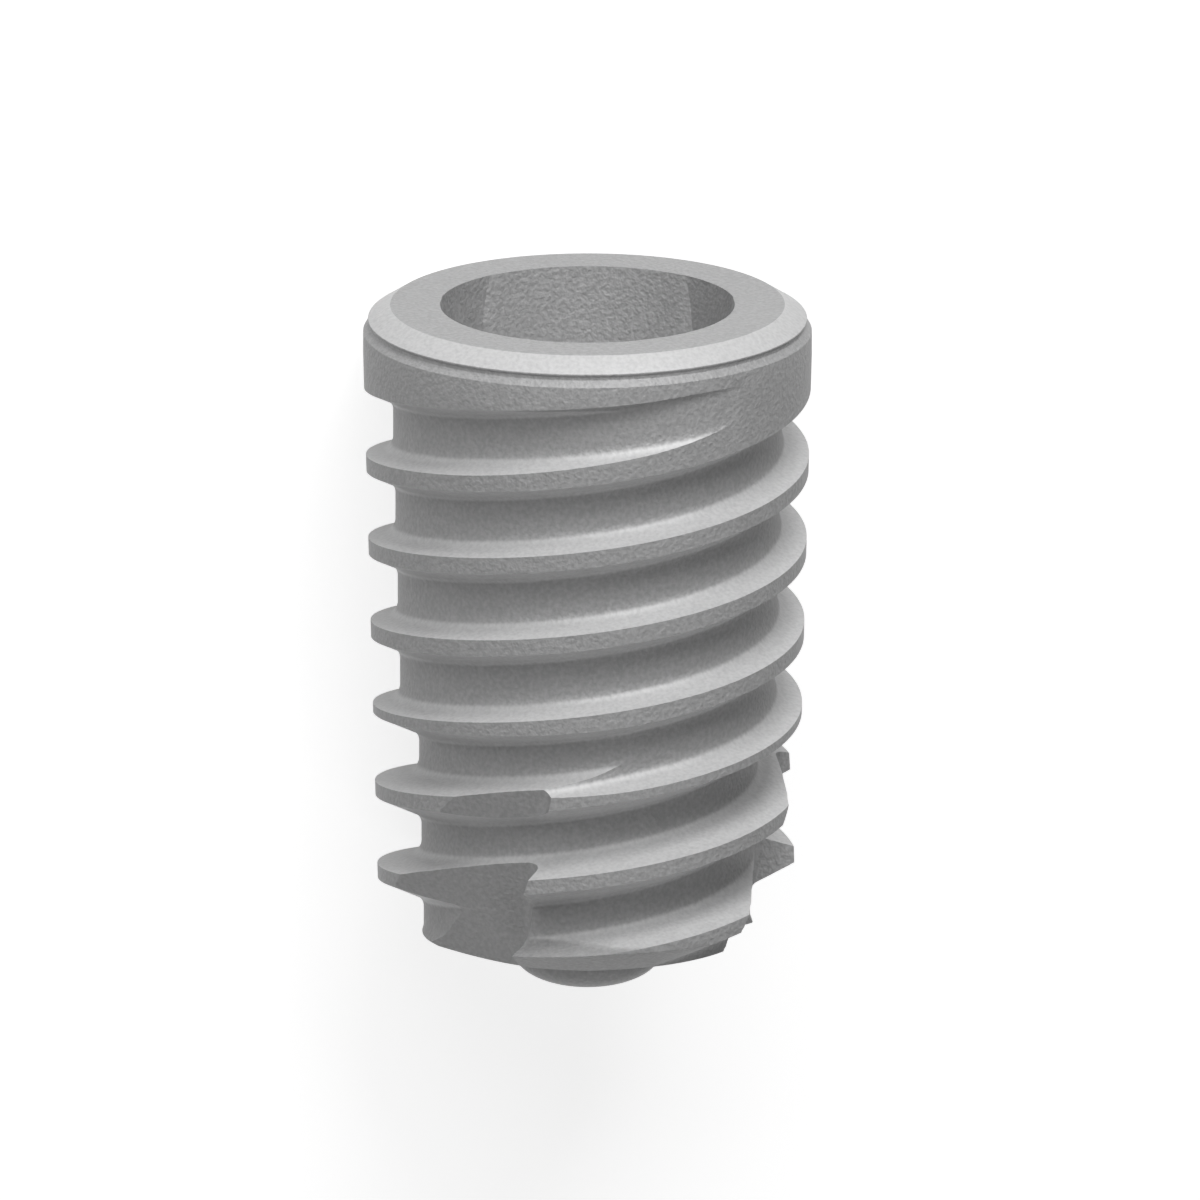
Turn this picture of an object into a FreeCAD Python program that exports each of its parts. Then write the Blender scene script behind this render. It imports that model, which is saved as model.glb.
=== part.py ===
import FreeCAD, Part
import math
import os

# Short, wide, self-tapping bone implant: one titanium fixture, turned, thread-milled and fluted.
# It is drawn upright, platform at Z = 0 and apex below it, with +X as the front.
# A depth is a distance below the platform. An angle is measured about Z from +X towards +Y.
# At the end the fixture is laid on its side, as it comes to rest on a table.

# Overall, in millimetres
fixture_length = 8.0
collar_diameter = 5.12
apex_crest_diameter = 4.77      # over the thread crests, where the end chamfer starts

# Platform, bevel and the small relief under it
platform_diameter = 4.50
bevel_diameter = 5.03
bevel_height = 0.165
relief_diameter = 4.97
relief_height = 0.07
collar_top_depth = 0.305
collar_end_depth = 0.57         # the taper of the thread starts here

# Rounded apex: chamfer, shallow cone and dome
chamfer_inner_diameter = 3.77
chamfer_height = 0.31
apex_cone_height = 0.285
dome_diameter = 1.67
dome_height = 0.355
dome_shoulder = 0.19            # radius of the dome's rounded edge
apex_allowance = 2.0            # extra bar beyond the apex, turned away after the thread is milled
seam_angle = 100.0              # where the turned surfaces close on themselves, clear of the thread's ends

# Two-start right-hand buttress thread, milled as two groove forms
thread_starts = 2
thread_lead = 1.956
groove_depth_at_front = 0.745   # depth of the top of the first groove's root, at the front
lower_flank_angle = 25.0        # both flanks from the horizontal
upper_flank_angle = 15.0
lower_fillet = 0.16
upper_fillet = 0.173
fillet_chords = 4               # a fillet this small is cut as short flats
cutter_reach = 0.75             # how far the cutter's form stands out of its root

upper_groove_cut = 0.32
upper_root_height = 0.312
upper_start_angle = 60.0        # the cutter stands clear of the collar here
upper_ramp_angle = 100.0
upper_clearance = 0.02
upper_end_angle = -750.0
upper_fade_angle = 50.0
upper_last_cut = 0.03

apical_groove_cut = 0.513
apical_first_cut = 0.297
apical_root_height = 0.195
apical_start_angle = -692.0
apical_ramp_angle = 118.0
section_step = 15.0
upper_retreat = 0.12            # where one groove takes over from the other, their roots step apart
apical_retreat = 0.04
retreat_angle = 28.0

# Three cutting flutes at the apex, each milled with a square-cornered cutter
flute_count = 3
flute_top_depth = 5.02
flute_top_clearance = 0.25      # the cutter's way starts this far above, outside the thread
flute_bottom_depth = 8.3
flute_corner_radius = 0.20
flute_direction = -16.1         # the way the cutter points at the top of the flute, seen from above
flute_turn = -5.6               # of that direction, for each millimetre further down
flute_face_out = 2.378          # of the wide face from the axis, at the top of the flute
flute_face_lean = 19.6          # of the wide face along the axis, towards the apex
flute_wall_aside = -0.346       # of the rake wall from the axis, at the top of the flute
flute_wall_lean = 4.1

# Three-lobe socket for the abutment, and the bore for its screw
mouth_diameter = 3.39
lobe_count = 3
socket_depth = 1.8
nose_step = 0.012               # of the noses between the lobes, at the mouth
nose_taper = 8.0
nose_rounding = 0.36
lobe_half_width = 0.40
guide_diameter = 2.2
guide_depth = 2.5
screw_bore_diameter = 1.60      # core of the fine screw thread
screw_bore_end = 5.6
drill_point_angle = 118.0

# How it lies
rest_angle = 212.0              # this side, under the middle of a flute, is underneath

up = FreeCAD.Vector(0, 0, 1)
centre = FreeCAD.Vector(0, 0, 0)


def tangent(angle):
    return math.tan(math.radians(angle))


def ease(share):
    share = min(max(share, 0.0), 1.0)
    return (1 - math.cos(math.pi * share)) / 2


def profile_point(radius, depth, angle=0.0):
    turn = math.radians(angle)
    return FreeCAD.Vector(radius * math.cos(turn), radius * math.sin(turn), -depth)


def straight(start, end):
    return Part.LineSegment(start, end).toShape()


def bent(start, middle, end):
    return Part.Arc(start, middle, end).toShape()


def revolved(points):
    """Closed radius and depth outline, turned about the axis."""
    outline = [profile_point(radius, depth) for radius, depth in points]
    face = Part.Face(Part.makePolygon(outline + outline[:1]))
    return face.revolve(centre, up, 360)


chamfer_top_depth = fixture_length - dome_height - apex_cone_height - chamfer_height
crest_slope = (collar_diameter - apex_crest_diameter) / 2 / (chamfer_top_depth - collar_end_depth)


def crest_radius(depth):
    return collar_diameter / 2 - crest_slope * (max(depth, collar_end_depth) - collar_end_depth)


def turned_bar():
    """The bar before its apex is turned: platform, bevel, relief, collar and tapered body."""
    relief_top = bevel_height + (bevel_diameter - relief_diameter) / 2
    end = fixture_length + apex_allowance
    bar = revolved([
        (0, 0),
        (platform_diameter / 2, 0),
        (bevel_diameter / 2, bevel_height),
        (relief_diameter / 2, relief_top),
        (relief_diameter / 2, bevel_height + relief_height),
        (collar_diameter / 2, collar_top_depth),
        (collar_diameter / 2, collar_end_depth),
        (crest_radius(end), end),
        (0, end),
    ])
    bar.rotate(centre, up, seam_angle)
    return bar


def apex_turning():
    """What the lathe takes off round the apex: outside the chamfer, the shallow cone and the dome."""
    cone_top = chamfer_top_depth + chamfer_height
    dome_top = cone_top + apex_cone_height
    dome_radius = dome_diameter / 2
    end = fixture_length + 2 * apex_allowance
    clear = collar_diameter / 2
    cap = ((dome_radius - dome_shoulder) ** 2 + dome_height ** 2 - dome_shoulder ** 2)
    cap = cap / (dome_height - dome_shoulder) / 2
    shoulder_centre = profile_point(dome_radius - dome_shoulder, dome_top)
    cap_centre = profile_point(0, fixture_length - cap)
    across = (shoulder_centre - cap_centre).normalize()
    outward = FreeCAD.Vector(1, 0, 0)
    tip = profile_point(0, fixture_length)
    meeting = cap_centre + across * cap
    on_shoulder = shoulder_centre + (across + outward).normalize() * dome_shoulder
    on_cap = cap_centre + (across - up).normalize() * cap
    rounded = [bent(profile_point(dome_radius, dome_top), on_shoulder, meeting), bent(meeting, on_cap, tip)]
    points = [
        profile_point(dome_radius, dome_top),
        profile_point(chamfer_inner_diameter / 2, cone_top),
        profile_point(apex_crest_diameter / 2, chamfer_top_depth),
        profile_point(clear, chamfer_top_depth),
        profile_point(clear, end),
        profile_point(0, end),
        tip,
    ]
    edges = rounded + [straight(start, stop) for start, stop in zip(points, points[1:])]
    waste = Part.Face(Part.Wire(Part.sortEdges(edges)[0])).revolve(centre, up, 360)
    waste.rotate(centre, up, seam_angle)
    return waste


def groove_section(angle, cut, root_height, narrowed):
    """Outline of the thread cutter in the half plane at an angle, its root narrowed from above."""
    helix_depth = groove_depth_at_front - thread_lead * angle / 360
    root_top = helix_depth + narrowed
    root_bottom = helix_depth + root_height
    root = crest_radius((root_top + root_bottom) / 2) - cut
    outside = root + cutter_reach

    def on_fillet(size, turned, depth, way):
        sweep = math.radians(turned)
        return root + size * (1 - math.cos(sweep)), depth + way * size * math.sin(sweep)

    def flank_end(inner, flank_angle, way):
        return outside, inner[1] + way * (outside - inner[0]) * tangent(flank_angle)

    lower_turn = 90 - lower_flank_angle
    upper_turn = 90 - upper_flank_angle
    shares = [step / fillet_chords for step in range(fillet_chords + 1)]
    lower = [on_fillet(lower_fillet, lower_turn * share, root_top, -1) for share in reversed(shares)]
    upper = [on_fillet(upper_fillet, upper_turn * share, root_bottom, 1) for share in shares]
    mouth_top = flank_end(lower[0], lower_flank_angle, -1)
    mouth_bottom = flank_end(upper[-1], upper_flank_angle, 1)
    outline = [profile_point(*corner, angle) for corner in [mouth_top] + lower + upper + [mouth_bottom]]
    return Part.makePolygon(outline + outline[:1])


def groove_cutters(first_angle, last_angle, root_height, cut_at, narrowed_at):
    """One thread groove as a loft of its sections down the helix, repeated for each start."""
    steps = math.ceil((first_angle - last_angle) / section_step)
    angles = [first_angle + (last_angle - first_angle) * step / steps for step in range(steps + 1)]
    sections = [groove_section(angle, cut_at(angle), root_height, narrowed_at(angle)) for angle in angles]
    return around(Part.makeLoft(sections, True), thread_starts)


def around(shape, count):
    copies = []
    for index in range(count):
        copy = shape.copy()
        copy.rotate(centre, up, 360 * index / count)
        copies.append(copy)
    return copies


def upper_cut(angle):
    """Runs out of the collar, full along the body, then fades where the apical groove takes over."""
    full = upper_groove_cut + upper_clearance
    rising = full * ease((upper_start_angle - angle) / upper_ramp_angle) - upper_clearance
    faded = ease((upper_end_angle + upper_fade_angle - angle) / upper_fade_angle)
    return min(rising, upper_groove_cut - (upper_groove_cut - upper_last_cut) * faded)


def upper_narrowed(angle):
    return upper_retreat * ease((upper_end_angle + upper_fade_angle - angle) / retreat_angle)


def apical_cut(angle):
    grown = ease((apical_start_angle - angle) / apical_ramp_angle)
    return apical_first_cut + (apical_groove_cut - apical_first_cut) * grown


def apical_narrowed(angle):
    return apical_retreat * (1 - ease((apical_start_angle - angle) / retreat_angle))


def thread_cutters():
    past_the_end = fixture_length + apex_allowance / 2
    last_angle = (groove_depth_at_front - past_the_end) * 360 / thread_lead
    upper = groove_cutters(upper_start_angle, upper_end_angle, upper_root_height, upper_cut, upper_narrowed)
    apical = groove_cutters(apical_start_angle, last_angle, apical_root_height, apical_cut, apical_narrowed)
    return upper + apical


def flute_section(depth):
    """Level outline of one flute: the rake wall, its rounded corner and the wide face square to it."""
    way_down = depth - flute_top_depth
    turn = math.radians(flute_direction + flute_turn * way_down)
    out = FreeCAD.Vector(math.cos(turn), math.sin(turn), 0)
    aside = FreeCAD.Vector(math.sin(turn), -math.cos(turn), 0)
    corner = out * (flute_face_out - way_down * tangent(flute_face_lean))
    corner = corner + aside * (flute_wall_aside + way_down * tangent(flute_wall_lean))
    corner.z = -depth
    on_wall = corner + out * flute_corner_radius
    on_face = corner + aside * flute_corner_radius
    middle = corner + (out + aside) * flute_corner_radius * (1 - math.sqrt(0.5))
    far_wall = corner + out * collar_diameter
    far_face = corner + aside * collar_diameter
    return Part.Wire([straight(far_wall, on_wall), bent(on_wall, middle, on_face),
                      straight(on_face, far_face), straight(far_face, far_wall)])


def flute_cutters():
    """A flute cuts the threads near the apex and deepens towards it."""
    start = flute_top_depth - flute_top_clearance
    steps = 4
    depths = [start + (flute_bottom_depth - start) * step / steps for step in range(steps + 1)]
    return around(Part.makeLoft([flute_section(depth) for depth in depths], True), flute_count)


def socket_section(depth):
    """Level outline of the socket: lobes on the mouth's radius, with rounded noses between them."""
    mouth = mouth_diameter / 2
    nose = mouth - nose_step - depth * tangent(nose_taper)
    post = nose + nose_rounding
    post_angle = math.asin((lobe_half_width + nose_rounding) / post)
    crease = post_angle - math.acos((mouth ** 2 + post ** 2 - nose_rounding ** 2) / (2 * mouth * post))
    half_pitch = math.pi / lobe_count

    def polar(radius, angle):
        return FreeCAD.Vector(radius * math.cos(angle), radius * math.sin(angle), -depth)

    edges = []
    for index in range(lobe_count):
        lobe = 2 * half_pitch * index
        for side in (-1, 1):
            post_centre = polar(post, lobe + side * post_angle)
            on_mouth = polar(mouth, lobe + side * crease)
            on_nose = polar(nose, lobe + side * post_angle)
            chord = (on_mouth + on_nose) * 0.5 - post_centre
            middle = post_centre + chord.normalize() * nose_rounding
            edges.append(bent(on_mouth, middle, on_nose))
        edges.append(bent(polar(mouth, lobe - crease), polar(mouth, lobe), polar(mouth, lobe + crease)))
        edges.append(bent(polar(nose, lobe + post_angle), polar(nose, lobe + half_pitch),
                          polar(nose, lobe + 2 * half_pitch - post_angle)))
    return Part.Wire(Part.sortEdges(edges)[0])


def socket_cutters():
    """The abutment's socket, the guide under it and the screw bore with its drill point."""
    levels = 7
    depths = [socket_depth * (step / levels) ** 1.5 for step in range(levels + 1)]
    socket = Part.makeLoft([socket_section(depth) for depth in depths], True)
    guide = guide_diameter / 2
    bore = screw_bore_diameter / 2
    lead_in = guide_depth + guide - bore
    point = screw_bore_end + bore / tangent(drill_point_angle / 2)
    above = socket_depth / 2
    shaft = revolved([(0, above), (guide, above), (guide, guide_depth), (bore, lead_in),
                      (bore, screw_bore_end), (0, point)])
    return [socket, shaft]


def laid_down(shape):
    """Lying on its tapered crests with the platform towards +X and a little up."""
    rest_tilt = math.degrees(math.atan(crest_slope))
    shape.rotate(centre, up, -rest_angle)
    shape.rotate(centre, FreeCAD.Vector(0, 1, 0), 90 - rest_tilt)
    box = shape.optimalBoundingBox()
    shape.translate(FreeCAD.Vector(-box.Center.x, -box.Center.y, -box.ZMin))
    return shape


implant_body = turned_bar()
for cutter in thread_cutters() + [apex_turning()] + flute_cutters() + socket_cutters():
    implant_body = implant_body.cut(cutter)

os.makedirs("parts", exist_ok=True)
laid_down(implant_body).exportStep("parts/implant_body.step")
print("volume, mm3:", round(implant_body.Volume, 3), "solids:", len(implant_body.Solids))
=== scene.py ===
import math

import bmesh
import bpy
import numpy as np
from mathutils import Matrix, Vector


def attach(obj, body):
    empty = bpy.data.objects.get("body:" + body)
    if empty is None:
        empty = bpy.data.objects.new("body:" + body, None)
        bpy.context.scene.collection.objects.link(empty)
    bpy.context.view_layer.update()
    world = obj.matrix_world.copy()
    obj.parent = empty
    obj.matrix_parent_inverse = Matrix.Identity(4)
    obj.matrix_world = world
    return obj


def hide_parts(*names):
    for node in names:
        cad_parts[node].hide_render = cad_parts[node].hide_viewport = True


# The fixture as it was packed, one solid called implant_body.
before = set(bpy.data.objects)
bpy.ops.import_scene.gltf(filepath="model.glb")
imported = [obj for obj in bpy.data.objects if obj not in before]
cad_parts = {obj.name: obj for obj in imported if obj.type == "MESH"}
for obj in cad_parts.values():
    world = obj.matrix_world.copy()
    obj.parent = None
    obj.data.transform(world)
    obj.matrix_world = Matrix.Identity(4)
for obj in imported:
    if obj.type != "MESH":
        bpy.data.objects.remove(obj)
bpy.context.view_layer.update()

# The blank: a short, wide fixture turned from a titanium bar. It is drawn upright, in millimetres
# and degrees, with the platform at depth 0 and the photograph's front at +X, and laid down later.
LENGTH = 8.0
PLATFORM_RADIUS = 2.25
BEVEL_RADIUS = 2.515
BEVEL_DEPTH = 0.165
RELIEF_RADIUS = 2.485
RELIEF_TOP = 0.195
RELIEF_END = 0.235
COLLAR_RADIUS = 2.56
COLLAR_TOP = 0.305
COLLAR_END = 0.57
CHAMFER_TOP = 7.05
CHAMFER_RADIUS = 2.385
CHAMFER_END = 7.36
CHAMFER_END_RADIUS = 1.885
DOME_TOP = 7.645
DOME_RADIUS = 0.835
EDGE_ROUNDING = 0.014
EDGE_STEPS = 4
DOME_STEPS = 24
TURNING_STEPS = 360
CREST_SLOPE = (COLLAR_RADIUS - CHAMFER_RADIUS) / (CHAMFER_TOP - COLLAR_END)


def ring(points, angle):
    """Radius and depth points, in the half plane at an angle in degrees."""
    turn = math.radians(angle)
    return [(radius * math.cos(turn), radius * math.sin(turn), -depth) for radius, depth in points]


def rounded(points, radius):
    """An outline of radius and depth points, with every corner between them cut by a short arc."""
    result = [points[0]]
    for before, corner, after in zip(points, points[1:], points[2:]):
        corner = np.array(corner)
        into = (np.array(before) - corner) / np.linalg.norm(np.array(before) - corner)
        out = (np.array(after) - corner) / np.linalg.norm(np.array(after) - corner)
        half = math.acos(min(max(float(into @ out), -1), 1)) / 2
        reach = radius / math.tan(half)
        centre = corner + (into + out) / np.linalg.norm(into + out) * radius / math.sin(half)
        first = corner + into * reach - centre
        last = corner + out * reach - centre
        for step in range(EDGE_STEPS + 1):
            share = step / EDGE_STEPS
            spoke = first * (1 - share) + last * share
            result.append(tuple(centre + spoke / np.linalg.norm(spoke) * radius))
    result.append(points[-1])
    return result


def mesh_object(name, points, faces):
    """A new object in the scene, made of these points and faces."""
    mesh = bpy.data.meshes.new(name)
    mesh.from_pydata([tuple(point) for point in points], [], faces)
    mesh.validate()
    item = bpy.data.objects.new(name, mesh)
    bpy.context.scene.collection.objects.link(item)
    return item


def lathe(name, outline, steps):
    """An outline from axis to axis, turned about the axis."""
    inner = outline[1:-1]
    sections = [ring(inner, 360 * step / steps) for step in range(steps)]
    points = [point for section in sections for point in section]
    count = len(inner)
    top = len(points)
    bottom = top + 1
    points.append((0, 0, -outline[0][1]))
    points.append((0, 0, -outline[-1][1]))
    faces = []
    for step in range(steps):
        here = step * count
        there = (step + 1) % steps * count
        for i in range(count - 1):
            faces.append((here + i, here + i + 1, there + i + 1, there + i))
        faces.append((top, here, there))
        faces.append((bottom, there + count - 1, here + count - 1))
    return mesh_object(name, points, faces)


corners = [
    (0, 0),
    (PLATFORM_RADIUS, 0),
    (BEVEL_RADIUS, BEVEL_DEPTH),
    (RELIEF_RADIUS, RELIEF_TOP),
    (RELIEF_RADIUS, RELIEF_END),
    (COLLAR_RADIUS, COLLAR_TOP),
    (COLLAR_RADIUS, COLLAR_END),
    (CHAMFER_RADIUS, CHAMFER_TOP),
    (CHAMFER_END_RADIUS, CHAMFER_END),
    (DOME_RADIUS, DOME_TOP),
]
dome_turns = [math.radians(90 * step / DOME_STEPS) for step in range(1, DOME_STEPS)]
dome = [
    (DOME_RADIUS * math.cos(turn), DOME_TOP + (LENGTH - DOME_TOP) * math.sin(turn))
    for turn in dome_turns
]
implant = lathe("implant", rounded(corners, EDGE_ROUNDING) + dome + [(0, LENGTH)], TURNING_STEPS)


# The finish: commercially pure titanium, blasted with grit and etched after it was turned, so it is
# dull and evenly grained. The thread's flanks and the platform's bevel keep the cutter's smoother,
# less bumpy surface, and they are painted a lighter grey, a painted highlight for light from above.
MM = 0.001
BLASTED_GREY = (0.40, 0.40, 0.403, 1)
# The lighter grey is a painted highlight on the thread's flanks and the platform's bevel.
PAINTED_HIGHLIGHT_GREY = (0.71, 0.71, 0.712, 1)
METALLIC = 0.1
BLASTED_ROUGHNESS = 0.52
MILLED_ROUGHNESS = 0.5
PITTING = 0.05                  # the size of the pits, across
PITTING_DEPTH = 0.015
PITTING_ROUGHNESS = 0.1
UNEVENNESS = 0.24               # the same for the wider unevenness
UNEVENNESS_DEPTH = 0.007
MILLED_EVENNESS = 0.6           # the share of that relief that the milled surfaces lack
MOTTLE = 0.26                   # how far each grey wanders towards the other
MOTTLE_GAIN = 3.0               # the noise keeps near a half, and this spreads it
FLANKS_TOP = 0.62
FLANKS_END = 7.0
FLANKS_SOFTNESS = 0.02
FLANK_FACING = 0.5              # how squarely a surface has to face along the axis, of 1
FLANK_FACING_SOFTNESS = 0.15
BEVEL_END = 0.18
BEVEL_SOFTNESS = 0.01
BEVEL_LEAST_FACING = 0.6
BEVEL_MOST_FACING = 0.93
BEVEL_FACING_SOFTNESS = 0.05
PLATFORM_CENTRE = (3.96845, 0.0, 2.574455)     # as it lies in the pack's frame
TAPER = math.atan(CREST_SLOPE)


class Nodes:
    """A node tree under construction: one method adds any node."""

    def __init__(self, tree):
        self.tree = tree
        tree.nodes.clear()

    def add(self, kind, inputs=None, **settings):
        made = self.tree.nodes.new(kind)
        for key, value in settings.items():
            setattr(made, key, value)
        for key, value in (inputs or {}).items():
            if isinstance(value, Value):
                value = value.socket
            if isinstance(value, bpy.types.NodeSocket):
                self.tree.links.new(value, made.inputs[key])
            else:
                made.inputs[key].default_value = value
        return made

    def number(self, kind, inputs, output=0, **settings):
        """One output of a new node, wrapped so that maths works on it."""
        return Value(self, self.add(kind, inputs, **settings).outputs[output])


class Value:
    """A socket that carries a number, so that maths on it reads as an expression."""

    def __init__(self, nodes, socket):
        self.nodes = nodes
        self.socket = socket

    def maths(self, operation, first, second):
        return self.nodes.number("ShaderNodeMath", {0: first, 1: second}, operation=operation)

    def __add__(self, other):
        return self.maths("ADD", self, other)

    def __radd__(self, other):
        return self.maths("ADD", other, self)

    def __sub__(self, other):
        return self.maths("SUBTRACT", self, other)

    def __rsub__(self, other):
        return self.maths("SUBTRACT", other, self)

    def __mul__(self, other):
        return self.maths("MULTIPLY", self, other)

    def __rmul__(self, other):
        return self.maths("MULTIPLY", other, self)


titanium = bpy.data.materials.new("blasted titanium")
titanium.use_nodes = True
nodes = Nodes(titanium.node_tree)
place = nodes.add("ShaderNodeTexCoord").outputs["Object"]
axis = (math.cos(TAPER), 0, math.sin(TAPER))
from_platform = nodes.add("ShaderNodeVectorMath", {
    0: place,
    1: tuple(MM * along for along in PLATFORM_CENTRE),
}, operation="SUBTRACT").outputs[0]
depth = nodes.number("ShaderNodeVectorMath", {0: from_platform, 1: axis}, "Value",
                     operation="DOT_PRODUCT") * (-1 / MM)
normal = nodes.add("ShaderNodeNewGeometry").outputs["Normal"]
facing = nodes.number("ShaderNodeVectorMath", {0: normal, 1: axis}, "Value", operation="DOT_PRODUCT")
facing = nodes.number("ShaderNodeMath", {0: facing}, operation="ABSOLUTE")


def above(value, limit, softness):
    """Nothing under a limit and one over it, with a soft step between."""
    return nodes.number("ShaderNodeMapRange", {0: value, 1: limit - softness, 2: limit + softness},
                        interpolation_type="SMOOTHSTEP")


def noise(size):
    """Even noise about a half, with features of about this size."""
    return nodes.number("ShaderNodeTexNoise", {"Vector": place, "Scale": 1 / (size * MM), "Detail": 1.0})


threaded = above(depth, FLANKS_TOP, FLANKS_SOFTNESS) * (1 - above(depth, FLANKS_END, FLANKS_SOFTNESS))
flanks = threaded * above(facing, FLANK_FACING, FLANK_FACING_SOFTNESS)
level = above(facing, BEVEL_MOST_FACING, BEVEL_FACING_SOFTNESS)
sloped = above(facing, BEVEL_LEAST_FACING, BEVEL_FACING_SOFTNESS) * (1 - level)
bevel = (1 - above(depth, BEVEL_END, BEVEL_SOFTNESS)) * sloped
# This mask marks where the grey is painted lighter, a painted highlight on the flanks and bevel; it also
# smooths their relief and roughness.
milled_and_painted_light = flanks + bevel
pits = noise(PITTING)
waves = noise(UNEVENNESS)
blasted_relief = pits * (PITTING_DEPTH * MM) + waves * (UNEVENNESS_DEPTH * MM)
relief = nodes.add("ShaderNodeBump", {
    "Height": blasted_relief * (1 - milled_and_painted_light * MILLED_EVENNESS),
    "Distance": 1.0,
})
# The grey's factor is random mottle from the pits plus the painted highlight on the flanks and bevel.
mottle_and_painted_light = MOTTLE / 2 + milled_and_painted_light * (1 - MOTTLE) + (pits - 0.5) * (MOTTLE * MOTTLE_GAIN)
roughness = BLASTED_ROUGHNESS + milled_and_painted_light * (MILLED_ROUGHNESS - BLASTED_ROUGHNESS)
# A Mix node names its colour sockets as it names others, so they go by number.
grey = nodes.add("ShaderNodeMix", {"Factor": mottle_and_painted_light, 6: BLASTED_GREY, 7: PAINTED_HIGHLIGHT_GREY}, data_type="RGBA")
metal = nodes.add("ShaderNodeBsdfPrincipled", {
    "Base Color": grey.outputs[2],
    "Metallic": METALLIC,
    "Roughness": roughness + (pits - 0.5) * PITTING_ROUGHNESS,
    "Normal": relief.outputs[0],
})
nodes.add("ShaderNodeOutputMaterial", {0: metal.outputs[0]})


# The bone thread: two starts, thread-milled into the blank. Each groove is cut in two passes, a
# shallow one that fades in under the collar, and a deeper, narrower one towards the apex.
STARTS = 2
LEAD = 1.956
ROOT_TOP_AT_FRONT = 0.745       # the depth of the root's upper edge, at angle 0
LOWER_FLANK = 25.0              # a crest's underside, from level
UPPER_FLANK = 15.0              # a crest's upper side, from level
LOWER_FILLET = 0.16
UPPER_FILLET = 0.173
FILLET_STEPS = 8
HELIX_STEP = 2
CUTTER_REACH = 0.75
UPPER_FIRST_ANGLE = 60
UPPER_FADE_IN = 100             # the turn in which its cut grows to the full
UPPER_FADE_ANGLE = -700
UPPER_LAST_ANGLE = -750
UPPER_CUT = 0.32
UPPER_LAST_CUT = 0.03
UPPER_ROOT = 0.312
START_GAP = 0.02                # how far off the blank the cutter starts
APICAL_FIRST_ANGLE = -692
APICAL_FULL_ANGLE = -810
APICAL_CUT = 0.513
APICAL_FIRST_CUT = 0.297
APICAL_ROOT = 0.195


def ease(share):
    """From nothing to one, slow at both ends."""
    share = min(max(share, 0.0), 1.0)
    return (1 - math.cos(math.pi * share)) / 2


def rise(angle):
    """How far a slope rises for each millimetre along."""
    return math.tan(math.radians(angle))


def groove_section(angle, cut, root_height):
    """The cutter's outline in the half plane at an angle: a flat root, two fillets and two flanks."""
    root_top = ROOT_TOP_AT_FRONT - LEAD * angle / 360
    root_bottom = root_top + root_height
    middle = max((root_top + root_bottom) / 2, COLLAR_END)
    root = COLLAR_RADIUS - CREST_SLOPE * (middle - COLLAR_END) - cut
    outside = root + CUTTER_REACH

    def fillet(size, turned, depth, way):
        turns = [math.radians(turned * step / FILLET_STEPS) for step in range(FILLET_STEPS + 1)]
        return [(root + size * (1 - math.cos(turn)), depth + way * size * math.sin(turn)) for turn in turns]

    lower = fillet(LOWER_FILLET, 90 - LOWER_FLANK, root_top, -1)
    upper = fillet(UPPER_FILLET, 90 - UPPER_FLANK, root_bottom, 1)
    mouth_top = (outside, lower[-1][1] - (outside - lower[-1][0]) * rise(LOWER_FLANK))
    mouth_bottom = (outside, upper[-1][1] + (outside - upper[-1][0]) * rise(UPPER_FLANK))
    return ring([mouth_top] + lower[::-1] + upper + [mouth_bottom], angle)


def upper_cut(angle):
    """How deep the shallow pass cuts: it fades in under the collar and out towards the apex."""
    rising = (UPPER_CUT + START_GAP) * ease((UPPER_FIRST_ANGLE - angle) / UPPER_FADE_IN) - START_GAP
    faded = ease((UPPER_FADE_ANGLE - angle) / (UPPER_FADE_ANGLE - UPPER_LAST_ANGLE))
    return min(rising, UPPER_CUT - (UPPER_CUT - UPPER_LAST_CUT) * faded)


def apical_cut(angle):
    """How deep the second pass cuts: it starts inside the first and sinks to its full depth."""
    deepened = ease((APICAL_FIRST_ANGLE - angle) / (APICAL_FIRST_ANGLE - APICAL_FULL_ANGLE))
    return APICAL_FIRST_CUT + (APICAL_CUT - APICAL_FIRST_CUT) * deepened


def loft(name, sections):
    """Closed sections with the same number of points, skinned and capped."""
    count = len(sections[0])
    points = [point for section in sections for point in section]
    faces = []
    for level in range(len(sections) - 1):
        here = level * count
        for i in range(count):
            j = (i + 1) % count
            faces.append((here + i, here + j, here + count + j, here + count + i))
    faces.append(tuple(reversed(range(count))))
    faces.append(tuple(range(len(points) - count, len(points))))
    return mesh_object(name, points, faces)


def helix(name, first, last, cut_at, root_height):
    """A groove's cutter, wound down the blank from its first angle to its last."""
    steps = math.ceil((first - last) / HELIX_STEP)
    angles = [first + (last - first) * step / steps for step in range(steps + 1)]
    return loft(name, [groove_section(angle, cut_at(angle), root_height) for angle in angles])


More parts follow.
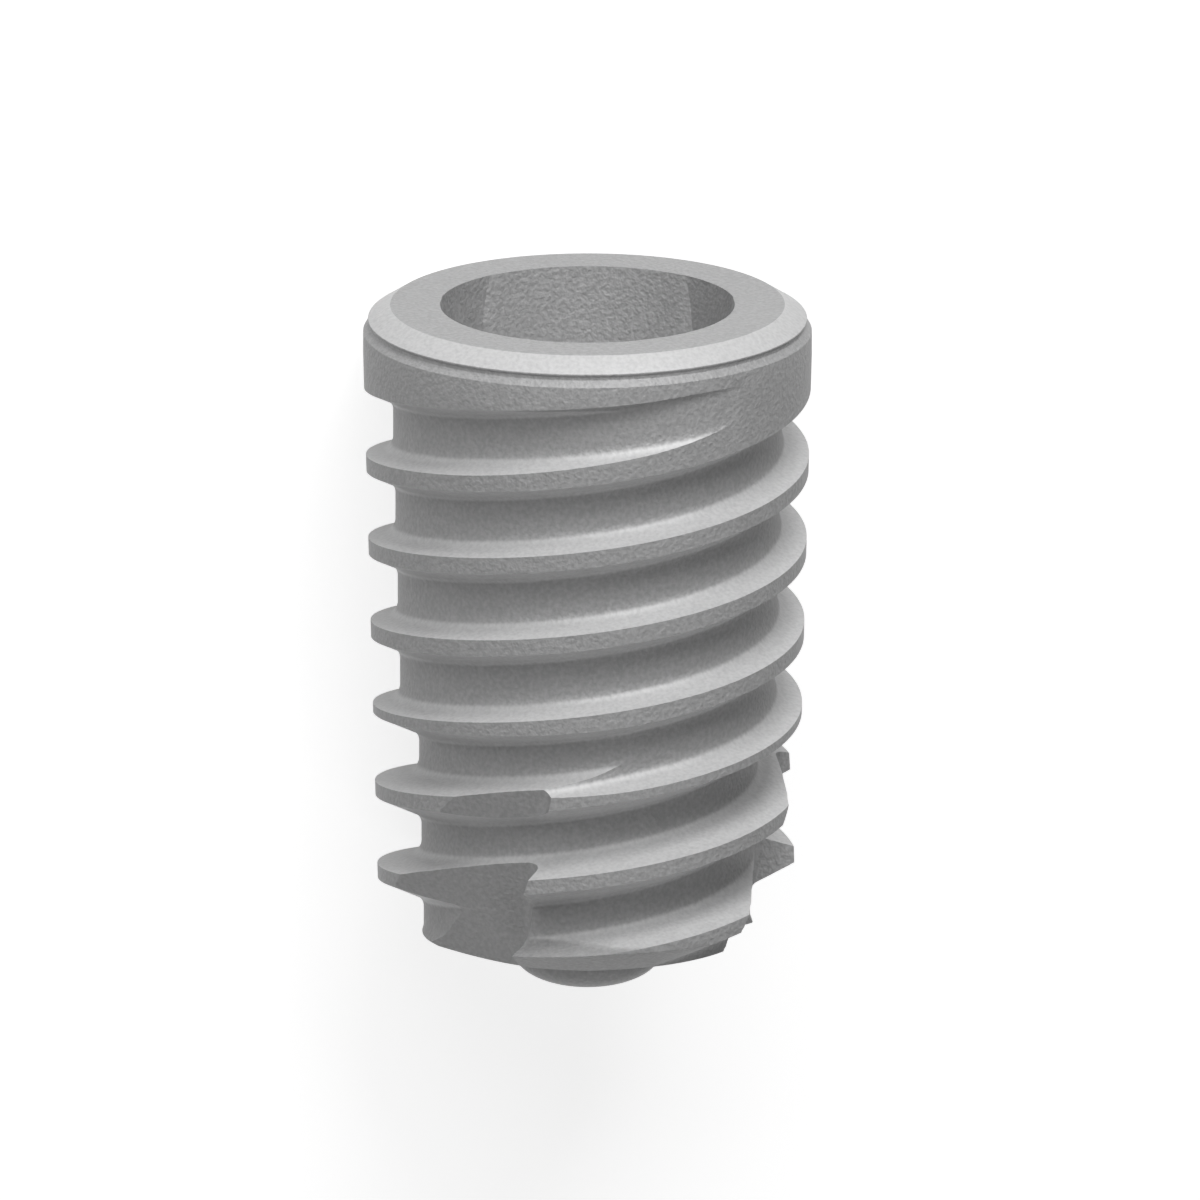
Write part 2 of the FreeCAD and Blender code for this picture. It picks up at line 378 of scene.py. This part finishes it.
def around(item, count):
    """Copies of a cutter, evenly spaced about the axis, by a small geometry tree."""
    tree = bpy.data.node_groups.new("around the axis", "GeometryNodeTree")
    nodes = Nodes(tree)
    tree.interface.new_socket("Geometry", in_out="INPUT", socket_type="NodeSocketGeometry")
    asked = tree.interface.new_socket("Count", in_out="INPUT", socket_type="NodeSocketInt")
    tree.interface.new_socket("Geometry", in_out="OUTPUT", socket_type="NodeSocketGeometry")
    given = nodes.add("NodeGroupInput")
    places = nodes.add("GeometryNodeMeshLine", {"Count": given.outputs["Count"], "Offset": (0, 0, 0)})
    index = Value(nodes, nodes.add("GeometryNodeInputIndex").outputs[0])
    share = nodes.add("ShaderNodeMath", {0: index, 1: given.outputs["Count"]}, operation="DIVIDE")
    turn = nodes.add("ShaderNodeCombineXYZ", {"Z": Value(nodes, share.outputs[0]) * (2 * math.pi)})
    copies = nodes.add("GeometryNodeInstanceOnPoints", {
        "Points": places.outputs[0],
        "Instance": given.outputs["Geometry"],
        "Rotation": turn.outputs[0],
    })
    real = nodes.add("GeometryNodeRealizeInstances", {"Geometry": copies.outputs[0]})
    painted = nodes.add("GeometryNodeSetMaterial", {"Geometry": real.outputs[0], "Material": titanium})
    nodes.add("NodeGroupOutput", {0: painted.outputs[0]})
    step = item.modifiers.new("around the axis", "NODES")
    step.node_group = tree
    step[asked.identifier] = count
    graph = bpy.context.evaluated_depsgraph_get()
    finished = bpy.data.meshes.new_from_object(item.evaluated_get(graph))
    item.modifiers.clear()
    item.data = finished
    return item


# The cutting flutes: three square-cornered notches at the apex, milled by a cutter that turns a
# little on its way down. Each has a rake wall and a wide face, which lean towards the axis.
FLUTES = 3
FLUTE_TOP = 5.02
FLUTE_START = 4.77
FLUTE_BOTTOM = 8.3
FLUTE_LEVELS = 36
FLUTE_CORNER = 0.20
CORNER_STEPS = 12
FLUTE_DIRECTION = -16.1
FLUTE_TURN = -5.6
FACE_OUT = 2.378
FACE_LEAN = 19.6
WALL_ASIDE = -0.346
WALL_LEAN = 4.1


def flute():
    """A flute's cutter: at each level a corner open outwards and aside, with its root rounded."""
    sections = []
    for level in range(FLUTE_LEVELS + 1):
        depth = FLUTE_START + (FLUTE_BOTTOM - FLUTE_START) * level / FLUTE_LEVELS
        down = depth - FLUTE_TOP
        turn = math.radians(FLUTE_DIRECTION + FLUTE_TURN * down)
        out = np.array([math.cos(turn), math.sin(turn)])
        aside = np.array([math.sin(turn), -math.cos(turn)])
        corner = out * (FACE_OUT - down * rise(FACE_LEAN)) + aside * (WALL_ASIDE + down * rise(WALL_LEAN))
        outline = [corner + out * COLLAR_RADIUS]
        for step in range(CORNER_STEPS + 1):
            bend = math.radians(90 * step / CORNER_STEPS)
            inward = out * (1 - math.sin(bend)) + aside * (1 - math.cos(bend))
            outline.append(corner + inward * FLUTE_CORNER)
        outline.append(corner + aside * 2 * COLLAR_RADIUS)
        sections.append([(x, y, -depth) for x, y in outline])
    return loft("flute", sections)


# The connection: a socket of three lobes, with wide noses between them that taper inwards, a plain
# guide bore under it, and the bore for the abutment's screw, with a fine thread cut into its wall.
MOUTH_RADIUS = 1.695
LOBES = 3
SOCKET_DEPTH = 1.8
SOCKET_LEVELS = 24
NOSE_SETBACK = 0.012            # at the mouth
NOSE_TAPER = 8.0
NOSE_ROUNDING = 0.36
LOBE_HALF_WIDTH = 0.40
LOBE_STEPS = 24
NOSE_STEPS = 16
ROUNDING_STEPS = 14
GUIDE_RADIUS = 1.1
GUIDE_DEPTH = 2.5
CORE_RADIUS = 0.80
BORE_STEPS = 96
BORE_END = 5.6
DRILL_POINT = 59                # half of its angle
SCREW_RADIUS = 1.0
SCREW_PITCH = 0.4
SCREW_THREAD_END = 5.3
THREAD_STEPS = 48               # for each turn
THREAD_RUN_OUT = 0.22           # how far the groove rises out of the wall at its end
THREAD_MOUTH = 0.66             # half the cutter's width at its open side, as a share of the pitch
THREAD_ROOT = 1 / 14            # the same at its root
THREAD_OVERLAP = 0.1            # how far the cutter's open side stands inside the bore


def arc(centre, start, stop, steps):
    """Points on a level circle from one point up to another, left out, the short way round."""
    radius = np.linalg.norm(start - centre)
    first = math.atan2(*(start - centre)[::-1])
    turn = (math.atan2(*(stop - centre)[::-1]) - first + math.pi) % (2 * math.pi) - math.pi
    turns = [first + turn * step / steps for step in range(steps)]
    return [centre + radius * np.array([math.cos(t), math.sin(t)]) for t in turns]


def polar(radius, angle):
    """A level point at a radius and at an angle in radians."""
    return radius * np.array([math.cos(angle), math.sin(angle)])


def socket_outline(depth):
    """Three lobes on the mouth's circle, with a wide nose between each two, rounded at its edges."""
    nose = MOUTH_RADIUS - NOSE_SETBACK - depth * rise(NOSE_TAPER)
    post = nose + NOSE_ROUNDING
    post_angle = math.asin((LOBE_HALF_WIDTH + NOSE_ROUNDING) / post)
    meeting = (MOUTH_RADIUS ** 2 + post ** 2 - NOSE_ROUNDING ** 2) / (2 * MOUTH_RADIUS * post)
    crease = post_angle - math.acos(meeting)
    axis = np.zeros(2)
    outline = []
    for index in range(LOBES):
        lobe = 2 * math.pi * index / LOBES
        following = lobe + 2 * math.pi / LOBES
        lobe_start = polar(MOUTH_RADIUS, lobe - crease)
        lobe_end = polar(MOUTH_RADIUS, lobe + crease)
        nose_start = polar(nose, lobe + post_angle)
        nose_end = polar(nose, following - post_angle)
        next_lobe = polar(MOUTH_RADIUS, following - crease)
        outline += arc(axis, lobe_start, lobe_end, LOBE_STEPS)
        outline += arc(polar(post, lobe + post_angle), lobe_end, nose_start, ROUNDING_STEPS)
        outline += arc(axis, nose_start, nose_end, NOSE_STEPS)
        outline += arc(polar(post, following - post_angle), nose_end, next_lobe, ROUNDING_STEPS)
    return outline


def socket():
    """The socket's cutter, which starts one level above the platform with the mouth's outline."""
    sections = []
    for level in range(-1, SOCKET_LEVELS + 1):
        depth = SOCKET_DEPTH * level / SOCKET_LEVELS
        sections.append([(x, y, -depth) for x, y in socket_outline(max(depth, 0))])
    return loft("socket", sections)


def screw_bore():
    """The guide bore and the screw's bore in one cutter, down to the drill's point."""
    outline = [
        (0, SOCKET_DEPTH / 2),
        (GUIDE_RADIUS, SOCKET_DEPTH / 2),
        (GUIDE_RADIUS, GUIDE_DEPTH),
        (CORE_RADIUS, GUIDE_DEPTH + GUIDE_RADIUS - CORE_RADIUS),
        (CORE_RADIUS, BORE_END),
        (0, BORE_END + CORE_RADIUS / rise(DRILL_POINT)),
    ]
    return lathe("screw bore", outline, BORE_STEPS)


def screw_thread():
    """A groove, narrow at its root, that winds down the bore and fades out in its last half turn."""
    turns = (SCREW_THREAD_END - GUIDE_DEPTH) / SCREW_PITCH
    steps = int(turns * THREAD_STEPS)
    inside = CORE_RADIUS - THREAD_OVERLAP
    sections = []
    for step in range(steps + 1):
        depth = GUIDE_DEPTH + SCREW_PITCH * turns * step / steps
        root = SCREW_RADIUS - THREAD_RUN_OUT * ease(1 - (steps - step) / (THREAD_STEPS / 2))
        form = [
            (inside, depth - SCREW_PITCH * THREAD_MOUTH),
            (root, depth - SCREW_PITCH * THREAD_ROOT),
            (root, depth + SCREW_PITCH * THREAD_ROOT),
            (inside, depth + SCREW_PITCH * THREAD_MOUTH),
        ]
        sections.append(ring(form, -360 * turns * step / steps))
    return loft("screw thread", sections)


def faced_outward(item):
    """The same mesh with its faces wound so that they look outward."""
    shell = bmesh.new()
    shell.from_mesh(item.data)
    bmesh.ops.recalc_face_normals(shell, faces=shell.faces)
    if shell.calc_volume(signed=True) < 0:
        bmesh.ops.reverse_faces(shell, faces=shell.faces)
    shell.to_mesh(item.data)
    shell.free()
    return item


def cut(body, cutters):
    """The body with each cutter's shape taken out of it. The cutters are used up."""
    for cutter in cutters:
        step = body.modifiers.new("cut", "BOOLEAN")
        step.operation = "DIFFERENCE"
        step.solver = "MANIFOLD"
        step.object = cutter
    graph = bpy.context.evaluated_depsgraph_get()
    finished = bpy.data.meshes.new_from_object(body.evaluated_get(graph))
    body.modifiers.clear()
    body.data = finished
    for cutter in cutters:
        bpy.data.objects.remove(cutter, do_unlink=True)


PAST_THE_APEX = 1

last_angle = (ROOT_TOP_AT_FRONT - LENGTH - PAST_THE_APEX) * 360 / LEAD
upper_groove = helix("upper groove", UPPER_FIRST_ANGLE, UPPER_LAST_ANGLE, upper_cut, UPPER_ROOT)
apical_groove = helix("apical groove", APICAL_FIRST_ANGLE, last_angle, apical_cut, APICAL_ROOT)
cut(faced_outward(implant), [
    around(faced_outward(upper_groove), STARTS),
    around(faced_outward(apical_groove), STARTS),
    around(faced_outward(flute()), FLUTES),
    faced_outward(socket()),
    faced_outward(screw_bore()),
    faced_outward(screw_thread()),
])


# Where it lies: a fixture can't stand unheld, so it rests on its collar and on a thread crest, with
# the middle of a flute underneath, and its taper lifts the platform's end of its axis.
REST_ANGLE = 212.0
SHARPEST_SMOOTH_EDGE = 24

side = Matrix.Rotation(math.radians(-REST_ANGLE), 4, "Z")
down = Matrix.Rotation(math.radians(90) - TAPER, 4, "Y")
lying = Matrix.Scale(MM, 4) @ Matrix.Translation(PLATFORM_CENTRE) @ down @ side
implant.data.transform(lying)
implant.data.shade_smooth()
implant.data.set_sharp_from_angle(angle=math.radians(SHARPEST_SMOOTH_EDGE))
shading = implant.modifiers.new("even shading", "WEIGHTED_NORMAL")
shading.keep_sharp = True
implant.data.materials.clear()
implant.data.materials.append(titanium)
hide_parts("implant_body")
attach(implant, "root")


# The camera: an orthographic view from 15 degrees above the platform's plane, as in the photograph,
# so it looks down on the fixture as it lies.
VIEW_ELEVATION = 15.0
FRAME_SIZE = 13.69
FRAME_RIGHT = 0.1426            # the frame's centre, from the platform's
FRAME_UP = -3.3728
CAMERA_DISTANCE = 0.08
CLIP_START = 0.001
CLIP_END = 1.0

turn = lying.to_3x3().normalized()
elevation = math.radians(VIEW_ELEVATION)
right = turn @ Vector((0, 1, 0))
up = turn @ Vector((-math.sin(elevation), 0, math.cos(elevation)))
back = turn @ Vector((math.cos(elevation), 0, math.sin(elevation)))
target = lying.translation + (right * FRAME_RIGHT + up * FRAME_UP) * MM
camera = bpy.data.objects.new("camera", bpy.data.cameras.new("camera"))
camera.data.type = "ORTHO"
camera.data.ortho_scale = FRAME_SIZE * MM
camera.data.clip_start = CLIP_START
camera.data.clip_end = CLIP_END
aim = Matrix((right, up, back)).transposed().to_4x4()
camera.matrix_world = Matrix.Translation(target + back * CAMERA_DISTANCE) @ aim
bpy.context.scene.collection.objects.link(camera)
bpy.context.scene.camera = camera


# The studio: a white floor and world, and four soft round lamps at one height. Each lamp has its
# azimuth and its brightness, which is what the disc itself would show in a mirror.
FLOOR_HALF = 0.4
FLOOR_COLOUR = 0.5
FLOOR_GLOW = 0.8
WHITE = 1.0
WORLD_LIGHT = 0.05
LAMP_DISTANCE = 0.12
LAMP_ELEVATION = 33
LAMP_HALF_ANGLE = 17
LAMPS = {
    "key": (0, 6.2),
    "side": (36, 2.9),
    "fill": (180, 1.1),
    "right": (108, 0.4),
}


def seen_directly(nodes):
    """One for what the camera sees, straight, in a reflection or through glass."""
    path = nodes.add("ShaderNodeLightPath")
    seen = Value(nodes, path.outputs["Is Camera Ray"]) + Value(nodes, path.outputs["Is Glossy Ray"])
    return seen + Value(nodes, path.outputs["Is Transmission Ray"])


floor_corners = [
    (-FLOOR_HALF, -FLOOR_HALF, 0),
    (FLOOR_HALF, -FLOOR_HALF, 0),
    (FLOOR_HALF, FLOOR_HALF, 0),
    (-FLOOR_HALF, FLOOR_HALF, 0),
]
floor = mesh_object("floor", floor_corners, [(0, 1, 2, 3)])
white = bpy.data.materials.new("white floor")
white.use_nodes = True
nodes = Nodes(white.node_tree)
paint = nodes.add("ShaderNodeBsdfDiffuse", {"Color": (FLOOR_COLOUR, FLOOR_COLOUR, FLOOR_COLOUR, 1)})
glow = nodes.add("ShaderNodeEmission", {"Strength": seen_directly(nodes) * FLOOR_GLOW})
both = nodes.add("ShaderNodeAddShader", {0: paint.outputs[0], 1: glow.outputs[0]})
underside = nodes.add("ShaderNodeEmission", {"Strength": WHITE})
from_below = nodes.add("ShaderNodeNewGeometry").outputs["Backfacing"]
sides = nodes.add("ShaderNodeMixShader", {0: from_below, 1: both.outputs[0], 2: underside.outputs[0]})
nodes.add("ShaderNodeOutputMaterial", {0: sides.outputs[0]})
floor.data.materials.append(white)

world = bpy.data.worlds.new("studio")
bpy.context.scene.world = world
world.use_nodes = True
nodes = Nodes(world.node_tree)
light = nodes.add("ShaderNodeBackground", {"Strength": WORLD_LIGHT})
background = nodes.add("ShaderNodeBackground", {"Strength": WHITE})
mixed = nodes.add("ShaderNodeMixShader", {
    0: seen_directly(nodes),
    1: light.outputs[0],
    2: background.outputs[0],
})
nodes.add("ShaderNodeOutputWorld", {0: mixed.outputs[0]})

lamp_height = math.sin(math.radians(LAMP_ELEVATION))
lamp_reach = math.cos(math.radians(LAMP_ELEVATION))
for name, (azimuth, brightness) in LAMPS.items():
    towards = Vector((
        lamp_reach * math.cos(math.radians(azimuth)),
        lamp_reach * math.sin(math.radians(azimuth)),
        lamp_height,
    ))
    lamp = bpy.data.lights.new(name, "AREA")
    lamp.shape = "DISK"
    lamp.size = 2 * LAMP_DISTANCE * rise(LAMP_HALF_ANGLE)
    disc_area = math.pi * (lamp.size / 2) ** 2
    lamp.energy = brightness * math.pi * disc_area
    item = bpy.data.objects.new(name, lamp)
    aimed = towards.to_track_quat("Z", "Y").to_matrix().to_4x4()
    item.matrix_world = Matrix.Translation(towards * LAMP_DISTANCE) @ aimed
    bpy.context.scene.collection.objects.link(item)

bpy.context.scene.view_settings.view_transform = "Standard"
